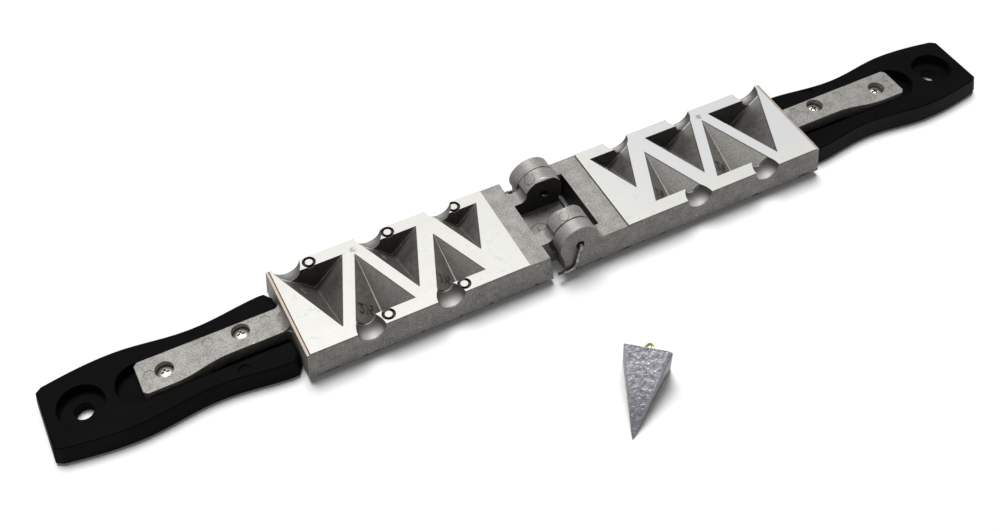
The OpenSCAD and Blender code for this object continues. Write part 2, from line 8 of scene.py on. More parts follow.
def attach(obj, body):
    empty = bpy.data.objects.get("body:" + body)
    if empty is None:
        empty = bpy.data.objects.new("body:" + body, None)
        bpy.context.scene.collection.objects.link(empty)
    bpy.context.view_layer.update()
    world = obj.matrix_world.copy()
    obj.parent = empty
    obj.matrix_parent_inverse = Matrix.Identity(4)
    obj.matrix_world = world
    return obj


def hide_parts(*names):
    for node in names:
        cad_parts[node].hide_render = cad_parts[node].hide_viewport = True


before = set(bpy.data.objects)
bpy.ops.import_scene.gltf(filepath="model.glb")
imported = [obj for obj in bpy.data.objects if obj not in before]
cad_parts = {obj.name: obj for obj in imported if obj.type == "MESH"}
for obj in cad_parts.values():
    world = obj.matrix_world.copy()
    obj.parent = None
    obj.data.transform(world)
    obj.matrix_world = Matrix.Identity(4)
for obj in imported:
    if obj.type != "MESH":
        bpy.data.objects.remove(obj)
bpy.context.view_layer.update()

# The view: the opened mould lies on a bench and is looked down on from the front left.
# The picture is 1000 by 531 pixels, and the lens is fitted to the picture's width.
FILM_WIDTH = 36
LENS = 43.24
EYE = Vector((-0.2016, -0.3512, 0.4680))
HEADING = math.radians(-25.97)
PITCH = math.radians(39.28)
ROLL = math.radians(-1.285)

camera_data = bpy.data.cameras.new("camera")
camera_data.sensor_fit = "HORIZONTAL"
camera_data.sensor_width = FILM_WIDTH
camera_data.lens = LENS
camera = bpy.data.objects.new("camera", camera_data)
camera.matrix_world = (Matrix.Translation(EYE) @ Matrix.Rotation(HEADING, 4, "Z")
                       @ Matrix.Rotation(PITCH, 4, "X") @ Matrix.Rotation(ROLL, 4, "Z"))
bpy.context.scene.collection.objects.link(camera)
bpy.context.scene.camera = camera
bpy.context.scene.view_settings.view_transform = "Standard"


# The bench and the light: a white table top, one broad lamp above and behind the mould's
# far side, and a weak even light from all round that keeps the front sides readable.
# Where the camera looks straight at the bench, it glows by the lift, so that it shows white.
BENCH_SIZE = 8.0
BENCH_WHITE = 0.97
BENCH_LIFT = 0.05
BENCH_ROUGHNESS = 0.9
KEY_STRENGTH = 3.02
KEY_SPREAD = math.radians(28)
KEY_HEADING = math.radians(80)
KEY_HEIGHT = math.radians(71)
FILL_STRENGTH = 0.10
SKY_IN_METAL = 0.8
BACKDROP_WHITE = 1.0


class Wire:
    """One output of a node; sums, products and comparisons on it add Math nodes."""

    def __init__(self, tree, link=None):
        self.tree, self.link = tree, link

    def node(self, kind, settings, inputs, out=0):
        """Adds a node with its settings and the values or wires of its sockets."""
        made = self.tree.nodes.new(kind)
        for name, value in settings.items():
            setattr(made, name, value)
        for name, value in inputs.items():
            if isinstance(value, Wire):
                self.tree.links.new(value.link, made.inputs[name])
            else:
                made.inputs[name].default_value = value
        return Wire(self.tree, made.outputs[out] if made.outputs else None)

    def beside(self, out):
        """Another output of the same node."""
        return Wire(self.tree, self.link.node.outputs[out])

    def reckon(self, operation, *values):
        """The result of a Math node."""
        return self.node("ShaderNodeMath", {"operation": operation}, dict(enumerate(values)))

    def __add__(self, other):
        return self.reckon("ADD", self, other)

    def __sub__(self, other):
        return self.reckon("SUBTRACT", self, other)

    def __rsub__(self, other):
        return self.reckon("SUBTRACT", other, self)

    def __mul__(self, other):
        return self.reckon("MULTIPLY", self, other)

    def __truediv__(self, other):
        return self.reckon("DIVIDE", self, other)

    def __rtruediv__(self, other):
        return self.reckon("DIVIDE", other, self)

    def __pow__(self, other):
        return self.reckon("POWER", self, other)

    def __rpow__(self, other):
        return self.reckon("POWER", other, self)

    def __abs__(self):
        return self.reckon("ABSOLUTE", self)

    def __gt__(self, other):
        return self.reckon("GREATER_THAN", self, other)

    def __lt__(self, other):
        return self.reckon("LESS_THAN", self, other)

    def __or__(self, other):
        return self.reckon("MAXIMUM", self, other)

    __radd__, __rmul__, __ror__ = __add__, __mul__, __or__

    def rise(self, low, high):
        """0 below low, 1 above high, smooth between; with low above high it falls."""
        return self.node("ShaderNodeMapRange", {"interpolation_type": "SMOOTHSTEP"},
                         {0: self, 1: low, 2: high})

    def blend(self, low, high):
        """One colour where this is 0 and another where it is 1; either may be a wire."""
        low, high = [(*c, 1) if isinstance(c, tuple) else c for c in (low, high)]
        return self.node("ShaderNodeMix", {"data_type": "RGBA", "clamp_factor": True},
                         {0: self, 6: low, 7: high}, out=2)

    def shade(self, under, over):
        """One shader where this is 0 and another where it is 1."""
        return self.node("ShaderNodeMixShader", {}, {0: self, 1: under, 2: over})


def new_finish(name):
    """A material with its nodes cleared, and a wire to start its nodes from."""
    made = bpy.data.materials.new(name)
    made.use_nodes = True
    made.node_tree.nodes.clear()
    return made, Wire(made.node_tree)


def finish_with(shader):
    """Ends a material with its surface shader."""
    shader.node("ShaderNodeOutputMaterial", {}, {"Surface": shader})


def coat(piece, finish):
    """Gives a piece one finish in place of any that it has."""
    piece.data.materials.clear()
    piece.data.materials.append(finish)


bpy.ops.object.select_all(action="DESELECT")
bpy.ops.mesh.primitive_plane_add(size=BENCH_SIZE, location=(0, 0, 0))
bench = bpy.context.object
bench.name = "bench"
bench_finish, start = new_finish("bench_white")
viewed = start.node("ShaderNodeLightPath", {}, {}, out="Is Camera Ray")
lifted = viewed.blend((0.0,) * 3, (BENCH_LIFT,) * 3)
finish_with(start.node("ShaderNodeBsdfPrincipled", {}, {
    "Base Color": (BENCH_WHITE,) * 3 + (1,), "Roughness": BENCH_ROUGHNESS,
    "Specular IOR Level": 0.0, "Emission Color": lifted, "Emission Strength": 1.0}))
coat(bench, bench_finish)

key_data = bpy.data.lights.new("key", "SUN")
key_data.energy = KEY_STRENGTH
key_data.angle = KEY_SPREAD
key = bpy.data.objects.new("key", key_data)
key.matrix_world = (Matrix.Rotation(KEY_HEADING - math.pi / 2, 4, "Z")
                    @ Matrix.Rotation(math.pi / 2 - KEY_HEIGHT, 4, "X").inverted())
bpy.context.scene.collection.objects.link(key)

world = bpy.data.worlds.new("surround")
world.use_nodes = True
world.node_tree.nodes.clear()
bpy.context.scene.world = world
viewed = Wire(world.node_tree).node("ShaderNodeLightPath", {}, {}, out="Is Camera Ray")
mirrored = viewed.beside("Is Glossy Ray") | viewed.beside("Is Transmission Ray")
unseen = mirrored.blend((FILL_STRENGTH,) * 3, (SKY_IN_METAL,) * 3)
surround = viewed.node("ShaderNodeBackground", {}, {
    "Color": viewed.blend(unseen, (BACKDROP_WHITE,) * 3), "Strength": 1.0})
surround.node("ShaderNodeOutputWorld", {}, {"Surface": surround})


# The two mould halves: aluminium castings, grey and sandy where they left the die, with
# the parting faces ground bright and the cavities left dark from the smoke of pouring.
# They swing on two split pins, which pass through the knuckles at their inner ends.
MM = 0.001
HAIR = 0.02 * MM
FACE_Z = 19.0 * MM
FACE_START, FACE_END = 27.6 * MM, 141.25 * MM
FACE_FROM, FACE_TO = FACE_START - HAIR, FACE_END + HAIR
FACE_HALF_W = 27.6 * MM + HAIR
FACE_BAND, FACE_SKIN = 0.2 * MM, 0.05 * MM
STEP_WIDTH, STEP_DEPTH = 0.5 * MM, 0.75 * MM
LEDGE_TO, LEDGE_DEPTH = 144 * MM, 1.2 * MM
FLASH_FROM, FLASH_TO, FLASH_SPREAD = 2.8 * MM, 3.2 * MM, 1.4 * MM
CAVITY_FROM, CAVITY_FLOOR = 29 * MM, 2.4 * MM
BACK_BASE, FRONT_BASE = 21.0 * MM, -20.0 * MM
GATE_LENGTH, NECK_WIDTH = 7 * MM, 0.35 * MM
FOLD_WIDTH, NEAR_BASE, RIM_WIDTH = 1.0 * MM, 12 * MM, 0.45 * MM
RING_REACH, RING_OUT, RING_IN, RING_DEPTH = 3.0 * MM, 3.5 * MM, 1.85 * MM, 1.6 * MM
BLOT_AT, BLOT_Y, BLOT_OUT, BLOT_IN = 100.0 * MM, 21.3 * MM, 2.5 * MM, 0.6 * MM
LEE_FROM, LEE_TO, LEE_FRONT, LEE_BACK = 10 * MM, 80 * MM, -25 * MM, -14 * MM
# The hinge end: knuckles stand above the face in front of and behind a floor plate, whose
# end shows in the window of the right half
KNUCKLE_INNER, KNUCKLE_REACH, KNUCKLE_FOOT = 12 * MM, 16 * MM, FACE_Z + 1 * MM
KNUCKLE_R, SINK_R = 13 * MM, 2.35 * MM
JOINT_FROM, JOINT_TO, FAINT_JOINT_TO = 18.65 * MM, 19.45 * MM, 2 * MM
PLATE_TOP, PLATE_REACH = 10 * MM, 20 * MM
PLATE_END_FROM, PLATE_END_TO, PLATE_END_HALF_W = 8.8 * MM, 11.4 * MM, 19.2 * MM
WINDOW_FROM, WINDOW_TO, WINDOW_HALF_W = 9 * MM, 16 * MM, 19.3 * MM
MARK_AT = Vector((-9.4, -2.6, 9.5)) * MM
MARK_HALF = Vector((0.3, 1.7, 0.2)) * MM
# Round outlines of the die's inserts and ejectors, in mm: the middle's x and y, half the
# length, half the width, and the lowest and highest z where the line shows
OUTLINES = ((-9, -3, 5, 4.4, 9, 10), (-5.6, 15.1, 2.4, 3.2, 24, 31),
            (-2.9, -15.6, 2.4, 2.6, 24, 31))
# The row of cavities, from the outer end to the hinge: the numeral in each, the weight of its
# sinker in ounces, and the land that parts it from the end of the face or its neighbour
LARGEST_HALF_W, HEIGHT_TO_HALF_W = 16.4 * MM, 2.48
OUTER_LAND, RIB, WIDE_RIB = 2.8 * MM, 6.5 * MM, 8.84 * MM
ROW = (("3", 3, OUTER_LAND), ("2½", 2.5, RIB), ("2", 2, RIB), ("1½", 1.5, WIDE_RIB),
       ("1", 1, WIDE_RIB))

# Each cavity's middle is a distance from the hinge, its base lies at a y, and back is 1 where
# the base is at the back and -1 where it is in front. Sinkers of one shape weigh as the cube
# of their width. The cavities lie head to tail, and the land between two is measured at the
# tip of the first, where the next is already a little narrower than at its base
Cavity = namedtuple("Cavity", "label middle base half_w height back")
cavities = []
middle, back, past_tip = FACE_END, 1, 0
for label, ounces, land in ROW:
    half_w = LARGEST_HALF_W * (ounces / ROW[0][1]) ** (1 / 3)
    height = half_w * HEIGHT_TO_HALF_W
    middle -= land + half_w * (1 - past_tip / height)
    base = BACK_BASE if back > 0 else FRONT_BASE
    cavities.append(Cavity(label, middle, base, half_w, height, back))
    past_tip = BACK_BASE - FRONT_BASE - height
    back = -back


def place_on(start):
    """The place on the piece at rest; beside it, Normal is the way the surface faces."""
    return start.node("ShaderNodeTexCoord", {}, {}, out="Object")


def axes(vector):
    """The x, y and z of a vector."""
    x = vector.node("ShaderNodeSeparateXYZ", {}, {0: vector})
    return x, x.beside(1), x.beside(2)


def grain(at, size, detail=2.0, rough=0.5, stretch=(1, 1, 1)):
    """Soft noise whose lumps have about the given size in metres."""
    scaled = at.node("ShaderNodeVectorMath", {"operation": "MULTIPLY"}, {0: at, 1: stretch})
    return at.node("ShaderNodeTexNoise", {}, {
        "Vector": scaled, "Scale": 1 / size, "Detail": detail, "Roughness": rough})


def specks(at, spacing, size):
    """1 in small round spots scattered about the given distance apart."""
    spot = at.node("ShaderNodeTexVoronoi", {}, {
        "Vector": at, "Scale": 1 / spacing, "Randomness": 1.0})
    return spot.rise(size / spacing, size / spacing / 2)


def relief(height, depth, under=None):
    """A normal from a height of 0 to 1 that stands for the given depth in metres."""
    inputs = {"Height": height, "Strength": 1.0, "Distance": depth}
    if under is not None:
        inputs["Normal"] = under
    return height.node("ShaderNodeBump", {}, inputs)


def soft_edges(at, radius):
    """The normal with the piece's sharp edges rounded to the given radius."""
    return at.node("ShaderNodeBevel", {"samples": 6}, {"Radius": radius})


def surface(colour, roughness, metallic, normal, specular=0.5):
    """A surface shader; all but the specular level may vary over the piece."""
    return normal.node("ShaderNodeBsdfPrincipled", {}, {
        "Base Color": colour, "Roughness": roughness, "Metallic": metallic,
        "Normal": normal, "Specular IOR Level": specular})


def away_from(along_x, along_y):
    """The distance whose two parts are given."""
    return (along_x ** 2 + along_y ** 2) ** 0.5


def any_of(masks):
    """1 where any of the masks is 1."""
    joined = masks[0]
    for mask in masks[1:]:
        joined = joined | mask
    return joined


cast_finish, start = new_finish("cast_aluminium")
at = place_on(start)
x, y, z = axes(at)
# How far the surface faces to the right, to the back and up
aside, along, up = axes(at.beside("Normal"))
reach = abs(x)
# Three finishes meet on a half: ground on the face, smoked in the hollows, and as cast
ground = (reach > FACE_FROM) * (z > FACE_Z - FACE_BAND) * (up > 0.5)
hollow = ((reach > CAVITY_FROM) * (reach < FACE_TO) * (abs(y) < FACE_HALF_W)
          * (z < FACE_Z - FACE_SKIN) * (z > CAVITY_FLOOR) * (up > -0.5))
past_base = (y - BACK_BASE) | (FRONT_BASE - y)
in_gate = hollow * (past_base > 0)

# The skin as cast, with chips and pits, painted light on the knuckles' tops and painted
# shade on the floor plate between them
CAST_GREY, CAST_STAIN = (0.285, 0.278, 0.262), (0.135, 0.129, 0.119)
CHIP_LIGHT, PIT_DARK = (0.62, 0.61, 0.59), (0.09, 0.085, 0.08)
TOP_PAINTED_LIGHT, PLATE_SHADE = (0.46, 0.45, 0.43), (0.08, 0.076, 0.07)
rounded = soft_edges(at, radius=0.5 * MM)
sand = grain(at, size=0.8 * MM, detail=3.0, rough=0.65)
fine_sand = grain(at, size=0.3 * MM, detail=1.0)
clouds = grain(at, size=6 * MM, detail=3.0, rough=0.6)
light_chips = specks(at, spacing=4 * MM, size=0.4 * MM) * clouds.rise(0.45, 0.62)
dark_pits = specks(at, spacing=3.1 * MM, size=0.35 * MM) * clouds.rise(0.6, 0.42)
cast_colour = (sand * 0.7 + clouds * 0.3).rise(0.34, 0.64).blend(CAST_STAIN, CAST_GREY)
cast_colour = light_chips.blend(cast_colour, CHIP_LIGHT)
cast_colour = dark_pits.blend(cast_colour, PIT_DARK)
# Painted light on the knuckles' up-facing tops
painted_top_light = (z > KNUCKLE_FOOT) * up.rise(0.1, 0.7)
cast_colour = (painted_top_light * 0.22).blend(cast_colour, TOP_PAINTED_LIGHT)
# Painted shade on the floor plate between the knuckles
floor_plate = (z < PLATE_TOP) * (reach < PLATE_REACH) * (up > 0.5)
cast_colour = (floor_plate * 0.42).blend(cast_colour, PLATE_SHADE)

# Painted shade darkens the knuckles' inner faces, the window's far wall, the plate's end and
# the countersinks round the pins; a dark line runs in the joint between a knuckle and its lug
CORNER_SHADE, SHADE_AND_JOINT_BLACK = (0.022, 0.0205, 0.019), (0.01, 0.0095, 0.009)
inner_face = ((abs(along) > 0.6) * (abs(y) < KNUCKLE_INNER) * (reach < KNUCKLE_REACH)
              * (up < 0.25))
far_wall = (aside < -0.5) * (x > WINDOW_FROM) * (x < WINDOW_TO) * (abs(y) < WINDOW_HALF_W)
plate_end = ((x > PLATE_END_FROM) * (x < PLATE_END_TO) * (z < PLATE_TOP)
             * (abs(y) < PLATE_END_HALF_W))
cast_colour = (any_of([inner_face, far_wall, plate_end]) * 0.9).blend(cast_colour, CORNER_SHADE)
from_pin = away_from(x, z - FACE_Z)
joint = (abs(y) > JOINT_FROM) * (abs(y) < JOINT_TO) * (from_pin < KNUCKLE_R)
joint = joint * (1 - (y > 0) * (x < FAINT_JOINT_TO) * 0.8)
# Painted shade in the countersinks round the pins, and the dark joint line
shade_and_joint = (from_pin < SINK_R) * 0.95 | joint * 0.75
cast_colour = shade_and_joint.blend(cast_colour, SHADE_AND_JOINT_BLACK)

# The die's own outlines, and a short mark beside the middle of the floor plate
OUTLINE_DARK = (0.04, 0.038, 0.035)
lines = []
for mid_x, mid_y, half_x, half_y, low, high in OUTLINES:
    off = away_from((x - mid_x * MM) / (half_x * MM), (y - mid_y * MM) / (half_y * MM))
    lines.append((abs(off - 1) < 0.08) * (z > low * MM) * (z < high * MM))
lines.append((abs(x - MARK_AT.x) < MARK_HALF.x) * (abs(y - MARK_AT.y) < MARK_HALF.y)
             * (abs(z - MARK_AT.z) < MARK_HALF.z))
broken = 0.35 + clouds.rise(0.4, 0.55) * 0.5
cast_colour = (any_of(lines) * broken).blend(cast_colour, OUTLINE_DARK)

# Edges: a painted highlight on the knuckles' rims, ragged flash with painted shade along the
# lower edges, a tinge of copper on the outer ledge, and painted shade along the face's steps
RIM_HIGHLIGHT, FLASH_AND_SHADE_DARK = (0.70, 0.69, 0.66), (0.035, 0.033, 0.03)
LEDGE_COPPER, STEP_SHADE = (0.46, 0.36, 0.29), (0.03, 0.026, 0.022)
# Painted highlight on the knuckles' rims
rim_highlight = (abs(along) > 0.2) * (abs(y) < KNUCKLE_INNER) * (z > KNUCKLE_FOOT) * (up > 0.2)
cast_colour = (rim_highlight * 0.8).blend(cast_colour, RIM_HIGHLIGHT)
# Ragged flash along the lower edges, darkened together with painted shade under it
ragged_flash_and_shade = ((z < FLASH_TO + clouds.rise(0.5, 0.66) * FLASH_SPREAD) * (z > FLASH_FROM)
          * (abs(up) < 0.5))
cast_colour = (ragged_flash_and_shade * 0.8).blend(cast_colour, FLASH_AND_SHADE_DARK)
# Painted shade on the steps from the face that face left
step = (z < FACE_Z - HAIR) * (z > FACE_Z - STEP_DEPTH)
inner_step = (reach > FACE_FROM - STEP_WIDTH) * (reach < FACE_FROM + HAIR) * (x > 0)
outer_step = (reach > FACE_TO - HAIR) * (reach < FACE_TO + STEP_WIDTH) * (x < 0)
ledge = (reach > FACE_TO) * (reach < LEDGE_TO) * (z > FACE_Z - LEDGE_DEPTH) * (up > 0.5)
cast_colour = (ledge * (0.3 + (x < 0) * 0.35)).blend(cast_colour, LEDGE_COPPER)
cast_colour = (step * (inner_step | outer_step) * 0.85).blend(cast_colour, STEP_SHADE)
cast = surface(colour=cast_colour, roughness=0.48 + sand * 0.15, metallic=0.6, specular=0.25,
               normal=relief(sand * 0.6 + fine_sand * 0.4, depth=0.14 * MM, under=rounded))

# The ground faces: fine scratches along the mould, haze, stains and pits. Painted shade dulls
# the right half's face but for its front edge, and burnt dross has left a blot behind the tip of
# each half's outer front cavity
GROUND_BRIGHT, GROUND_DULL = (0.60, 0.598, 0.568), (0.575, 0.566, 0.532)
GROUND_SHADED, GROUND_STAIN = (0.56, 0.565, 0.565), (0.42, 0.41, 0.38)
GROUND_PIT, BLOT_DARK = (0.25, 0.24, 0.22), (0.13, 0.122, 0.106)
grind = grain(at, size=0.5 * MM, detail=2.0, rough=0.6, stretch=(0.06, 1, 1))
haze = grain(at, size=9 * MM, detail=3.0, rough=0.55)
pits = specks(at, spacing=11 * MM, size=0.28 * MM) * haze.rise(0.48, 0.6)
# Painted shade on the right half's face, but for its front edge
right_face_shade = x.rise(LEE_FROM, LEE_TO) * y.rise(LEE_FRONT, LEE_BACK)
smudge = grain(at, size=2.5 * MM, detail=3.0, rough=0.6)
stains = haze.rise(0.56, 0.62) * smudge.rise(0.5, 0.6)
ground_colour = haze.rise(0.35, 0.7).blend(GROUND_DULL, GROUND_BRIGHT)
ground_colour = (stains * 0.35).blend(ground_colour, GROUND_STAIN)
ground_colour = pits.blend(right_face_shade.blend(ground_colour, GROUND_SHADED), GROUND_PIT)
blot = away_from(reach - BLOT_AT, y - BLOT_Y).rise(BLOT_OUT, BLOT_IN) * sand.rise(0.38, 0.6)
ground_colour = (blot * 0.95).blend(ground_colour, BLOT_DARK)
bright = surface(colour=ground_colour, roughness=0.42 + grind * 0.12, metallic=0.2, specular=0.3,
                 normal=relief(grind * 0.3 - pits, depth=0.02 * MM,
                               under=soft_edges(at, radius=0.2 * MM)))

# The cavities: smoked grey, with painted shade on the base walls of the rear ones, and painted
# light in the folds beside these walls and near them, along the valleys, on the right walls of the
# front cavities and in the bowls of the gates. A thin dark brown line runs along the rims, and
# painted shade blackens the grooves for the brass eyes, which only the left half has
CAVITY_GREY, CAVITY_SOOT = (0.215, 0.205, 0.19), (0.12, 0.112, 0.102)
LIT_WALL_LIGHT, LIT_WALL_DULL = (0.44, 0.43, 0.405), (0.28, 0.272, 0.252)
BASE_SHADE, NEAR_BASE_PAINTED_LIGHT = (0.045, 0.042, 0.038), (0.40, 0.39, 0.37)
VALLEY_HIGHLIGHT, FOLD_HIGHLIGHT = (0.27, 0.263, 0.25), (0.78, 0.765, 0.73)
GATE_LIT, GATE_SHADED, NECK_HIGHLIGHT = (0.50, 0.49, 0.465), (0.12, 0.115, 0.107), (0.5, 0.49, 0.47)
RIM_BROWN, GROOVE_SHADE = (0.075, 0.055, 0.042), (0.015, 0.014, 0.013)
smoke = grain(at, size=3 * MM, detail=3.0, rough=0.6)
cavity_colour = (smoke * 0.5 + sand * 0.5).rise(0.32, 0.68).blend(CAVITY_SOOT, CAVITY_GREY)
# Painted shade on the base walls of the rear cavities
base_wall = along < -0.7
cavity_colour = (base_wall * 0.7).blend(cavity_colour, BASE_SHADE)
# Painted light on the right walls of the front cavities
lit_wall = (along < -0.05) * (along > -0.6) * (aside < -0.2)
lit_colour = sand.rise(0.32, 0.68).blend(LIT_WALL_DULL, LIT_WALL_LIGHT)
cavity_colour = (lit_wall * (0.3 + (x > 0) * 0.6)).blend(cavity_colour, lit_colour)
# Painted highlight along the valleys
valley = (abs(aside) < 0.62) * (up > 0.5)
cavity_colour = (valley * (0.55 + (along < 0) * 0.1)).blend(cavity_colour, VALLEY_HIGHLIGHT)
side_wall = (along > -0.6) * (y > 0)
# Painted light on the right walls near the rear cavities' base walls
near_base = past_base.rise(-NEAR_BASE, -FOLD_WIDTH) * side_wall * (aside < -0.3)
cavity_colour = (near_base * 0.4).blend(cavity_colour, NEAR_BASE_PAINTED_LIGHT)
# Painted highlight in the folds beside the rear cavities' base walls
fold = (past_base > -FOLD_WIDTH) * (past_base < 0) * side_wall
cavity_colour = (fold * (0.55 + (x < 0) * 0.3)).blend(cavity_colour, FOLD_HIGHLIGHT)
rim_line = (z > FACE_Z - RIM_WIDTH) * (past_base < 0)
cavity_colour = (rim_line * (0.35 + (x > 0) * 0.35)).blend(cavity_colour, RIM_BROWN)
# Painted light and shade in the gates' bowls, lit toward the side and dimmer in the rear gates
lit_bowl = (past_base / GATE_LENGTH).rise(0.15, 0.95) * up.rise(0.35, 0.95)
lit_bowl = lit_bowl * (0.7 + sand * 0.5) * (1 - (y > 0) * (0.3 + (x < 0) * 0.32))
gate_colour = lit_bowl.blend(GATE_SHADED, GATE_LIT)
# Painted highlight along the gates' necks
neck_highlight = (past_base > 0) * (past_base < NECK_WIDTH) * (up > 0.1)
gate_colour = (neck_highlight * 0.7).blend(gate_colour, NECK_HIGHLIGHT)
pour_colour = in_gate.blend(cavity_colour, gate_colour)
# Painted shade blackens the grooves for the brass eyes
grooves = []
for cavity in cavities:
    ring_y = cavity.base + cavity.back * RING_REACH
    off = away_from(x + cavity.middle, y - ring_y)
    grooves.append((off < RING_OUT) * (off > RING_IN) * (z > FACE_Z - RING_DEPTH))
pour_colour = (any_of(grooves) * 0.92).blend(pour_colour, GROOVE_SHADE)
pour = surface(colour=pour_colour, roughness=0.42 + in_gate * 0.22,
               metallic=0.75 - in_gate * 0.4, specular=0.25,
               normal=relief(sand * 0.5 + fine_sand * 0.5, depth=0.08 * MM, under=rounded))
finish_with(hollow.shade(ground.shade(cast, bright), pour))

for name in ("left_mould_half", "right_mould_half"):
    coat(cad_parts[name], cast_finish)


# The numerals: each sinker's weight in ounces, raised on the left wall of its cavity and
# mirrored, so that it reads rightly in the lead. They are cast in one with the halves, from
# a die that they are cut into.
NUMERAL_SIZE = 8.6 * MM
NUMERAL_RAISE = 0.25 * MM
DOWN_THE_WALL, TOWARDS_THE_TIP = 0.43, 0.22
MERGE_WITHIN = 0.001 * MM
FRONT_SHADED_DARK, FRONT_SHADED_LIGHT = (0.024, 0.023, 0.021), (0.08, 0.077, 0.071)
BACK_LIT_DARK, BACK_LIT_LIGHT = (0.07, 0.066, 0.06), (0.2, 0.194, 0.182)

numeral_finish, start = new_finish("cast_numeral")
at = place_on(start)
y = axes(at)[1]
worn = grain(at, size=0.5 * MM, detail=2.0)
worn_off = worn.rise(0.35, 0.65)
# Painted shade on the numerals in the front cavities, and painted light on those in the rear ones
stroke = (y > 0).blend(worn_off.blend(FRONT_SHADED_DARK, FRONT_SHADED_LIGHT),
                       worn_off.blend(BACK_LIT_DARK, BACK_LIT_LIGHT))
finish_with(surface(colour=stroke, roughness=0.5, metallic=0.75, specular=0.25,
                    normal=relief(worn, depth=0.05 * MM,
                                  under=soft_edges(at, radius=0.12 * MM))))

# The first half lies on the left of the hinge, and the second on the right
for half, hand in (("left_half", -1), ("right_half", 1)):
    row = []
    for cavity in cavities:
        middle = hand * cavity.middle
        rim = Vector((middle - cavity.half_w, cavity.base, FACE_Z))
        valley_foot = Vector((middle, cavity.base, FACE_Z - cavity.half_w))
        tip = Vector((middle, cavity.base - cavity.back * cavity.height, FACE_Z))
        across = (valley_foot - rim).normalized() * -cavity.back
        out = (valley_foot - rim).cross(tip - rim).normalized() * -cavity.back
        to_base = across.cross(out)
        bpy.ops.object.select_all(action="DESELECT")
        bpy.ops.object.text_add()
        numeral = bpy.context.object
        numeral.data.body = cavity.label
        numeral.data.size = NUMERAL_SIZE * cavity.half_w / LARGEST_HALF_W
        numeral.data.align_x = "CENTER"
        numeral.data.align_y = "CENTER"
        numeral.data.extrude = NUMERAL_RAISE
        bpy.ops.object.convert(target="MESH")
        numeral = bpy.context.object
        numeral.matrix_world = Matrix((across, to_base, out)).transposed().to_4x4()
        numeral.location = rim.lerp(valley_foot, DOWN_THE_WALL).lerp(tip, TOWARDS_THE_TIP)
        bpy.ops.object.transform_apply(location=True, rotation=True, scale=True)
        bpy.ops.object.mode_set(mode="EDIT")
        bpy.ops.mesh.select_all(action="SELECT")
        bpy.ops.mesh.remove_doubles(threshold=MERGE_WITHIN)
        bpy.ops.mesh.normals_make_consistent(inside=False)
        bpy.ops.object.mode_set(mode="OBJECT")
        row.append(numeral)
    bpy.ops.object.select_all(action="DESELECT")
    for numeral in row:
        numeral.select_set(True)
    bpy.context.view_layer.objects.active = row[0]
    bpy.ops.object.join()
    numerals = bpy.context.object
    numerals.name = numerals.data.name = f"{half}_numerals"
    coat(numerals, numeral_finish)
    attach(numerals, half)


# The split pins: steel wire folded double and pushed through the knuckles from inside,
# with the two legs bent down outside the lug and curled in under it.
WIRE_DULL, WIRE_BRIGHT = (0.12, 0.115, 0.105), (0.42, 0.41, 0.38)
WIRE_SHADED = (0.02, 0.019, 0.018)

pin_finish, start = new_finish("pin_wire")
at = place_on(start)
y = axes(at)[1]
drawn = grain(at, size=0.3 * MM, detail=2.0, rough=0.5, stretch=(1, 1, 0.15))
tarnish = grain(at, size=1.5 * MM, detail=3.0)
wire_colour = tarnish.rise(0.35, 0.7).blend(WIRE_DULL, WIRE_BRIGHT)
wire_colour = ((abs(y) < KNUCKLE_INNER) * 0.75).blend(wire_colour, WIRE_SHADED)
finish_with(surface(colour=wire_colour, roughness=0.26 + drawn * 0.15, metallic=1.0,
                    normal=relief(drawn, depth=0.02 * MM)))
for name in ("front_hinge_pin", "rear_hinge_pin"):
    coat(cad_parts[name], pin_finish)


# The handles: black heat-proof plastic, each moulded in one, with sides that flare down to
# the mould line. The tang of a casting lies in a recess in the top and is screwed down.
TOP_DARK, TOP_SHEEN = (0.0018, 0.0018, 0.0019), (0.003, 0.003, 0.0032)
LEFT_SIDE_LIT, LEFT_SIDE_LIT_SHEEN = (0.006, 0.006, 0.0062), (0.009, 0.009, 0.0093)
RIGHT_SIDE_LIT, RIGHT_SIDE_LIT_SHEEN = (0.016, 0.016, 0.016), (0.022, 0.022, 0.022)
SCUFF_GREY = (0.009, 0.009, 0.0095)

handle_finish, start = new_finish("black_plastic")
at = place_on(start)
x = axes(at)[0]
up = axes(at.beside("Normal"))[2]
skin_grain = grain(at, size=0.35 * MM, detail=2.0, rough=0.6)
flow = grain(at, size=14 * MM, detail=3.0, rough=0.55, stretch=(0.5, 1, 1)).rise(0.35, 0.7)
rub = grain(at, size=2.5 * MM, detail=4.0, rough=0.7, stretch=(0.3, 1, 1))
# Painted light makes the sides lighter than the tops, and the right handle's sides lighter still
side = abs(up) < 0.6
plastic = flow.blend(TOP_DARK, TOP_SHEEN)
plastic = side.blend(plastic, flow.blend(LEFT_SIDE_LIT, LEFT_SIDE_LIT_SHEEN))
plastic = (side * (x > 0)).blend(plastic, flow.blend(RIGHT_SIDE_LIT, RIGHT_SIDE_LIT_SHEEN))
plastic = (rub.rise(0.66, 0.8) * (up > 0.7) * 0.35).blend(plastic, SCUFF_GREY)
finish_with(surface(colour=plastic, roughness=0.42 + skin_grain * 0.16, metallic=0.0,
                    specular=0.02, normal=relief(skin_grain, depth=0.03 * MM,
                                                 under=soft_edges(at, radius=0.5 * MM))))
for name in ("left_handle", "right_handle"):
    coat(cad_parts[name], handle_finish)


# The screws: pan heads with a cross recess, headed from steel wire and nickel plated, two to
# a handle. Each sits in a counterbore in the tang and goes down into the plastic.
NICKEL_DULL, NICKEL_BRIGHT = (0.40, 0.375, 0.33), (0.58, 0.555, 0.50)
NICKEL_SHADED = (0.09, 0.083, 0.07)

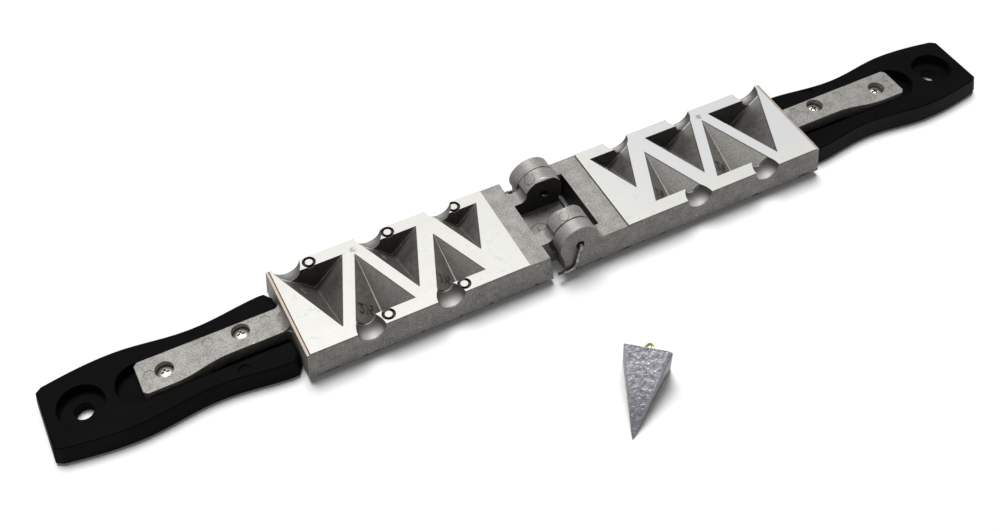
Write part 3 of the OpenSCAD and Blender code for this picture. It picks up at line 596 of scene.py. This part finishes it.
screw_finish, start = new_finish("nickel_plate")
at = place_on(start)
up = axes(at.beside("Normal"))[2]
plate_grain = grain(at, size=0.4 * MM, detail=2.0)
plating = plate_grain.rise(0.3, 0.7).blend(NICKEL_DULL, NICKEL_BRIGHT)
plating = ((up < 0.8) * 0.75).blend(plating, NICKEL_SHADED)
finish_with(surface(colour=plating, roughness=0.3 + plate_grain * 0.15, metallic=1.0,
                    normal=relief(plate_grain, depth=0.01 * MM,
                                  under=soft_edges(at, radius=0.25 * MM))))
for name in ("left_inner_screw", "left_outer_screw", "right_inner_screw", "right_outer_screw"):
    coat(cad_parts[name], screw_finish)


# The sinker: a pyramid of lead straight from the mould, its upper face crinkled where the
# metal chilled against the cavity, with a flat along one corner where the halves met.
SOLID_HALF_W, SOLID_TIP = LARGEST_HALF_W, 0.25 * MM
SOLID_HEIGHT = SOLID_HALF_W * HEIGHT_TO_HALF_W
SINKER_HALF_W, SINKER_TIP, SINKER_HEIGHT = 16.2 * MM, 0.4 * MM, 40.6 * MM
SINKER_PLACE = Vector((-13 * MM, -108 * MM, 0.09 * MM))
SINKER_TURN = math.radians(-40)
HALF_SIDE = SOLID_HALF_W / math.sqrt(2)
SINKER_LEAN = math.atan((SOLID_HALF_W - SOLID_TIP) / math.sqrt(2) / SOLID_HEIGHT)
BASE_GAP = 0.05 * MM
FLAT_ACROSS, FLAT_DOWN, FLAT_SHARE = 3.0 * MM, 1.8 * MM, 0.62
EDGE_ROUND, VOXEL = 0.45 * MM, 0.3 * MM
UPPER_FROM, UPPER_SPAN = 0.85, 0.14
CRINKLE_DEPTH = 0.5 * MM
CRINKLE_SIZE = Vector((1.25, 1.25, 1.8)) * MM
LEAD_DARK, LEAD_LIGHT, TIP_DARK = (0.13, 0.128, 0.148), (0.50, 0.50, 0.54), (0.10, 0.098, 0.112)
SIDE_DARK, SIDE_LIGHT = (0.17, 0.175, 0.19), (0.25, 0.256, 0.275)
TIP_FROM, TIP_TO = -8 * MM, 16 * MM

# The pyramid is made upright on its base, with its sides square to the axes
bpy.ops.object.select_all(action="DESELECT")
bpy.ops.mesh.primitive_cone_add(
    vertices=4, radius1=SINKER_HALF_W, radius2=SINKER_TIP, depth=SINKER_HEIGHT,
    location=(0, 0, SINKER_HEIGHT / 2 + BASE_GAP), rotation=(0, 0, math.pi / 4))
sinker = bpy.context.object
sinker.name = sinker.data.name = "sinker_casting"
bpy.ops.object.transform_apply(location=True, rotation=True, scale=True)
# The flat is cut from the corner between the upper face and the right one
corner = Vector((HALF_SIDE, HALF_SIDE, 0))
flat_end = corner.lerp(Vector((0, 0, SINKER_HEIGHT)), FLAT_SHARE)
on_upper = corner - Vector((FLAT_ACROSS, 0, 0))
on_right = corner - Vector((0, FLAT_DOWN, 0))
flat_normal = (on_right - flat_end).cross(on_upper - flat_end).normalized()
bpy.ops.object.mode_set(mode="EDIT")
bpy.ops.mesh.select_all(action="SELECT")
bpy.ops.mesh.bisect(plane_co=flat_end, plane_no=flat_normal, use_fill=True,
                    clear_outer=True, clear_inner=False)
bpy.ops.mesh.select_all(action="SELECT")
bpy.ops.mesh.bevel(offset=EDGE_ROUND, segments=2, affect="EDGES")
bpy.ops.mesh.select_all(action="SELECT")
bpy.ops.mesh.normals_make_consistent(inside=False)
bpy.ops.object.mode_set(mode="OBJECT")
remesh = sinker.modifiers.new("remesh", "REMESH")
remesh.mode = "VOXEL"
remesh.voxel_size = VOXEL
bpy.ops.object.modifier_apply(modifier="remesh")

# The crinkles sink only into the face that will look up
upper = sinker.vertex_groups.new(name="upper")
upper_normal = Vector((0, math.cos(SINKER_LEAN), math.sin(SINKER_LEAN)))
for vertex in sinker.data.vertices:
    share = (vertex.normal.dot(upper_normal) - UPPER_FROM) / UPPER_SPAN
    upper.add([vertex.index], max(0.0, min(1.0, share)), "REPLACE")
bpy.ops.object.empty_add(location=(0, 0, 0))
measure = bpy.context.object
measure.scale = CRINKLE_SIZE
bpy.ops.object.select_all(action="DESELECT")
sinker.select_set(True)
bpy.context.view_layer.objects.active = sinker
for label, size, depth in (("crinkles", 1.0, CRINKLE_DEPTH), ("grains", 0.45, CRINKLE_DEPTH / 2)):
    pattern = bpy.data.textures.new(label, "CLOUDS")
    pattern.noise_scale = size
    pattern.noise_depth = 2
    crinkle = sinker.modifiers.new(label, "DISPLACE")
    crinkle.texture = pattern
    crinkle.texture_coords = "OBJECT"
    crinkle.texture_coords_object = measure
    crinkle.vertex_group = "upper"
    crinkle.mid_level = 1.0
    crinkle.strength = depth
    bpy.ops.object.modifier_apply(modifier=label)
bpy.data.objects.remove(measure)

# It is then laid on the bench on its lower face
sinker.matrix_world = (Matrix.Translation(SINKER_PLACE) @ Matrix.Rotation(SINKER_TURN, 4, "Z")
                       @ Matrix.Translation((0, SOLID_HEIGHT / 2, 0))
                       @ Matrix.Rotation(math.pi / 2 + SINKER_LEAN, 4, "X")
                       @ Matrix.Translation((0, HALF_SIDE, 0)))
bpy.ops.object.transform_apply(location=True, rotation=True, scale=True)
bpy.ops.object.shade_smooth()

lead_finish, start = new_finish("cast_lead")
at = place_on(start)
x, y, _ = axes(at)
up = axes(at.beside("Normal"))[2]
mottle = grain(at, size=2.2 * MM, detail=4.0, rough=0.6)
frost = grain(at, size=0.5 * MM, detail=2.0, rough=0.6)
crinkled = up.rise(0.62, 0.75)
to_tip = (x - SINKER_PLACE.x) * math.sin(SINKER_TURN) - (y - SINKER_PLACE.y) * math.cos(SINKER_TURN)
upper_colour = (mottle * 0.5 + frost * 0.5).rise(0.3, 0.7).blend(LEAD_DARK, LEAD_LIGHT)
upper_colour = (to_tip.rise(TIP_FROM, TIP_TO) * 0.7).blend(upper_colour, TIP_DARK)
side_colour = mottle.rise(0.3, 0.7).blend(SIDE_DARK, SIDE_LIGHT)
frosted = (frost * 0.5 + mottle * 0.5) * (0.25 + crinkled * 0.75)
finish_with(surface(colour=crinkled.blend(side_colour, upper_colour), roughness=0.36 + frost * 0.2,
                    metallic=0.7, normal=relief(frosted, depth=0.16 * MM)))
coat(sinker, lead_finish)
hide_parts("sinker_body")
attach(sinker, "left_half")


# The sinker's eye: a ring of brass wire that the line is tied to. It is laid in the mould
# before pouring, so that its two legs are held in the lead.
BRASS_DEEP, BRASS_BRIGHT = (0.36, 0.30, 0.07), (0.66, 0.58, 0.20)

brass_finish, start = new_finish("bright_brass")
at = place_on(start)
tint = grain(at, size=1.2 * MM, detail=2.0)
finish_with(surface(colour=tint.rise(0.35, 0.65).blend(BRASS_DEEP, BRASS_BRIGHT),
                    roughness=0.16 + tint * 0.08, metallic=1.0,
                    normal=relief(tint, depth=0.02 * MM)))
coat(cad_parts["sinker_eye"], brass_finish)
